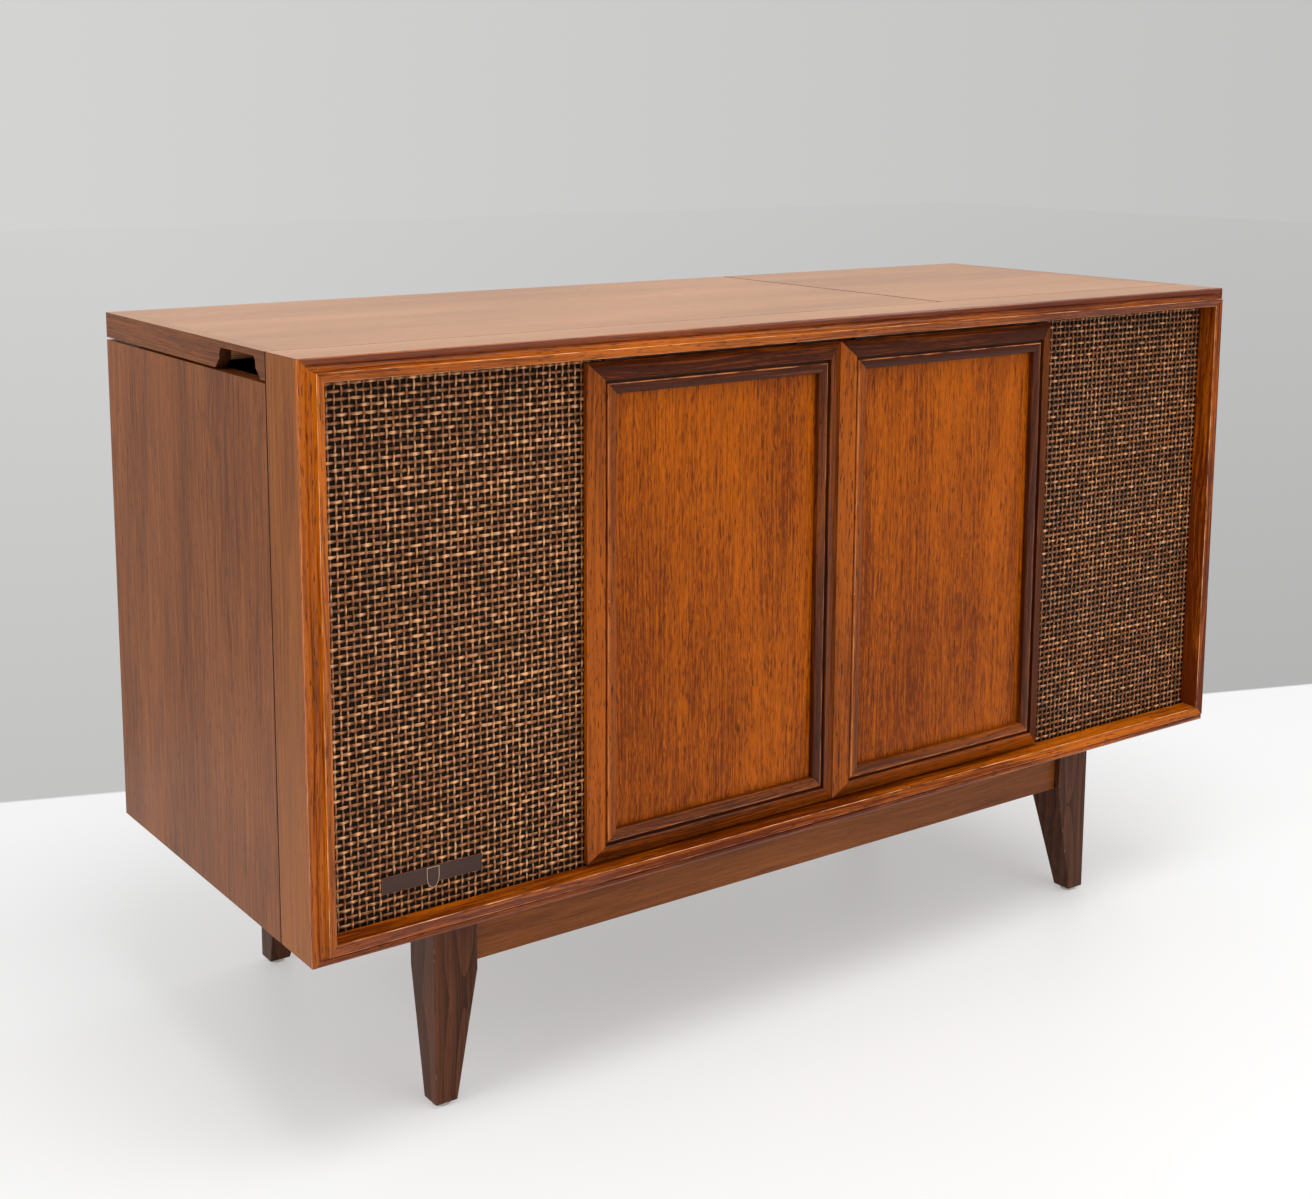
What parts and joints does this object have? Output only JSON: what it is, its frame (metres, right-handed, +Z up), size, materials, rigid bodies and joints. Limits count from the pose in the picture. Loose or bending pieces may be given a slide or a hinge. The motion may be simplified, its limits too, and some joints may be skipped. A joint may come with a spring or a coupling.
{
  "type": "stereo record player console",
  "caption": "Walnut stereo console on tapered legs, with lifting lids over a record changer and tuner, woven end grilles and two sliding panelled front doors.",
  "frame": {"origin": "centre of the whole object on the floor, under the middle of its overall box", "axes": "+X along the front towards the right end, +Y towards the back, +Z up; the front faces -Y"},
  "size_m": [1.219, 0.473, 0.75],
  "materials": {
    "walnut_side": "satin lacquer",
    "walnut_top": "satin lacquer",
    "walnut_moulding": "glossy lacquer",
    "walnut_door": "satin lacquer",
    "door_veneer": "satin lacquer",
    "walnut_stand": "satin lacquer",
    "walnut_leg": "satin lacquer",
    "inner_wood": "thin lacquer",
    "hardboard": "bare",
    "baffle_black": "black stain",
    "woven_grille": "woven strands",
    "badge_metal": "brown anodised",
    "brass": "satin",
    "steel": "satin",
    "speaker_paper": "felted",
    "nylon": "moulded",
    "glide_steel": "worn",
    "cream_enamel": "satin enamel",
    "platter_metal": "turned",
    "mat_rubber": "ribbed",
    "chrome": "polished",
    "motor_metal": "grey paint",
    "idler_rubber": "ground",
    "arm_plastic": "moulded",
    "dark_plastic": "moulded",
    "panel_metal": "brushed gold",
    "dial_glass": "clear",
    "pointer_red": "gloss",
    "knob_metal": "spun",
    "chassis_metal": "zinc",
    "valve_glass": "clear"
  },
  "bodies": {
    "cabinet": {"left_side": "walnut_side", "right_side": "walnut_side", "bottom_panel": "inner_wood", "back_panel": "hardboard", "back_screws": "steel", "front_boards": "walnut_side", "moulding_top": "walnut_moulding", "moulding_bottom": "walnut_moulding", "moulding_left": "walnut_moulding", "moulding_right": "walnut_moulding", "inner_boards": "inner_wood", "top_rails": "inner_wood", "deck": "inner_wood", "speaker_baffles": "baffle_black", "left_grille": "woven_grille", "right_grille": "woven_grille", "badge_plate": "badge_metal", "speaker_frames": "steel", "speaker_cones": "speaker_paper", "hinge_leaves": "brass", "door_tracks": "dark_plastic", "stand_rails": "walnut_stand", "legs": "walnut_leg", "glides": "glide_steel", "changer_plate": "cream_enamel", "spindle": "chrome", "changer_motor": "motor_metal", "tonearm_posts": "cream_enamel", "control_panel": "panel_metal", "dial_window": "dial_glass", "tuner_chassis": "chassis_metal", "amplifier": "chassis_metal", "valves": "valve_glass"},
    "left_lid": {"left_lid": "walnut_top", "left_lid_fascia": "walnut_side", "left_lid_fittings": "brass"},
    "right_lid": {"right_lid": "walnut_top", "right_lid_fascia": "walnut_side", "right_lid_fittings": "brass"},
    "left_stay": {"left_stay_arm": "brass"},
    "right_stay": {"right_stay_arm": "brass"},
    "left_door": {"left_door_frame": "walnut_door", "left_door_panel": "door_veneer", "door_guides_left": "nylon"},
    "right_door": {"right_door_frame": "walnut_door", "right_door_panel": "door_veneer", "door_guides_right": "nylon"},
    "platter": {"platter": "platter_metal", "platter_mat": "mat_rubber"},
    "motor_rotor": {"motor_pulley": "brass"},
    "idler": {"idler_wheel": "idler_rubber"},
    "arm_yoke": {"tonearm_yoke": "chrome"},
    "arm": {"tonearm": "arm_plastic"},
    "overarm": {"overarm": "chrome"},
    "speed_lever": {"speed_lever": "dark_plastic"},
    "tuning_knob": {"tuning_knob": "knob_metal"},
    "volume_knob": {"volume_knob": "knob_metal"},
    "tone_knob": {"tone_knob": "knob_metal"},
    "selector_knob": {"selector_knob": "knob_metal"},
    "dial_pointer": {"dial_pointer": "pointer_red"}
  },
  "joints": [
    {"name": "left_lid_hinge", "type": "hinge", "parent": "cabinet", "child": "left_lid", "pos_m": [0, 0.2325, 0.7268], "axis": [-1, 0, 0], "range_deg": [0, 76]},
    {"name": "right_lid_hinge", "type": "hinge", "parent": "cabinet", "child": "right_lid", "pos_m": [0.4, 0.2325, 0.7268], "axis": [-1, 0, 0], "range_deg": [0, 76]},
    {"name": "left_stay_turn", "type": "hinge", "parent": "cabinet", "child": "left_stay", "pos_m": [-0.5895, 0.2205, 0.6968], "axis": [-1, 0, 0], "range_deg": [0, 76]},
    {"name": "right_stay_turn", "type": "hinge", "parent": "cabinet", "child": "right_stay", "pos_m": [0.5895, 0.2205, 0.6968], "axis": [-1, 0, 0], "range_deg": [0, 76]},
    {"name": "left_door_slide", "type": "slide", "parent": "cabinet", "child": "left_door", "axis": [-1, 0, 0], "range_m": [0, 0.262]},
    {"name": "right_door_slide", "type": "slide", "parent": "cabinet", "child": "right_door", "axis": [1, 0, 0], "range_m": [0, 0.262]},
    {"name": "platter_spin", "type": "hinge", "parent": "cabinet", "child": "platter", "pos_m": [-0.433, -0.0355, 0.644], "axis": [0, 0, 1], "continuous": true},
    {"name": "idler_spin", "type": "hinge", "parent": "cabinet", "child": "idler", "pos_m": [-0.37915, 0.05777, 0.627], "axis": [0, 0, 1], "continuous": true},
    {"name": "motor_spin", "type": "hinge", "parent": "cabinet", "child": "motor_rotor", "pos_m": [-0.40345, 0.05777, 0.627], "axis": [0, 0, 1], "continuous": true},
    {"name": "arm_swing", "type": "hinge", "parent": "cabinet", "child": "arm_yoke", "pos_m": [-0.262, 0.0695, 0.662], "axis": [0, 0, -1], "range_deg": [0, 44]},
    {"name": "arm_lift", "type": "hinge", "parent": "arm_yoke", "child": "arm", "pos_m": [-0.262, 0.0695, 0.662], "axis": [-1, 0, 0], "range_deg": [0, 8]},
    {"name": "overarm_swing", "type": "hinge", "parent": "cabinet", "child": "overarm", "pos_m": [-0.56, 0.0895, 0.644], "axis": [0, 0, -1], "range_deg": [0, 42]},
    {"name": "speed_lever_turn", "type": "hinge", "parent": "cabinet", "child": "speed_lever", "pos_m": [-0.253, -0.1555, 0.618], "axis": [0, 0, 1], "range_deg": [-25, 25]},
    {"name": "tuning_turn", "type": "hinge", "parent": "cabinet", "child": "tuning_knob", "pos_m": [0.11125, -0.1025, 0.668], "axis": [0, 0, -1], "range_deg": [-540, 540]},
    {"name": "volume_turn", "type": "hinge", "parent": "cabinet", "child": "volume_knob", "pos_m": [-0.15275, -0.1025, 0.668], "axis": [0, 0, -1], "range_deg": [0, 300]},
    {"name": "tone_turn", "type": "hinge", "parent": "cabinet", "child": "tone_knob", "pos_m": [-0.06475, -0.1025, 0.668], "axis": [0, 0, -1], "range_deg": [-150, 150]},
    {"name": "selector_turn", "type": "hinge", "parent": "cabinet", "child": "selector_knob", "pos_m": [0.02325, -0.1025, 0.668], "axis": [0, 0, -1], "range_deg": [0, 120]},
    {"name": "pointer_slide", "type": "slide", "parent": "cabinet", "child": "dial_pointer", "axis": [1, 0, 0], "range_m": [-0.14, 0.14]}
  ],
  "couplings": [
    {"joint": "left_stay_turn", "follows": "left_lid_hinge", "ratio": 1},
    {"joint": "right_stay_turn", "follows": "right_lid_hinge", "ratio": 1},
    {"joint": "idler_spin", "follows": "platter_spin", "ratio": 6.4},
    {"joint": "motor_spin", "follows": "platter_spin", "ratio": -32},
    {"joint": "pointer_slide", "follows": "tuning_turn", "m_per_rad": 0.0148}
  ]
}
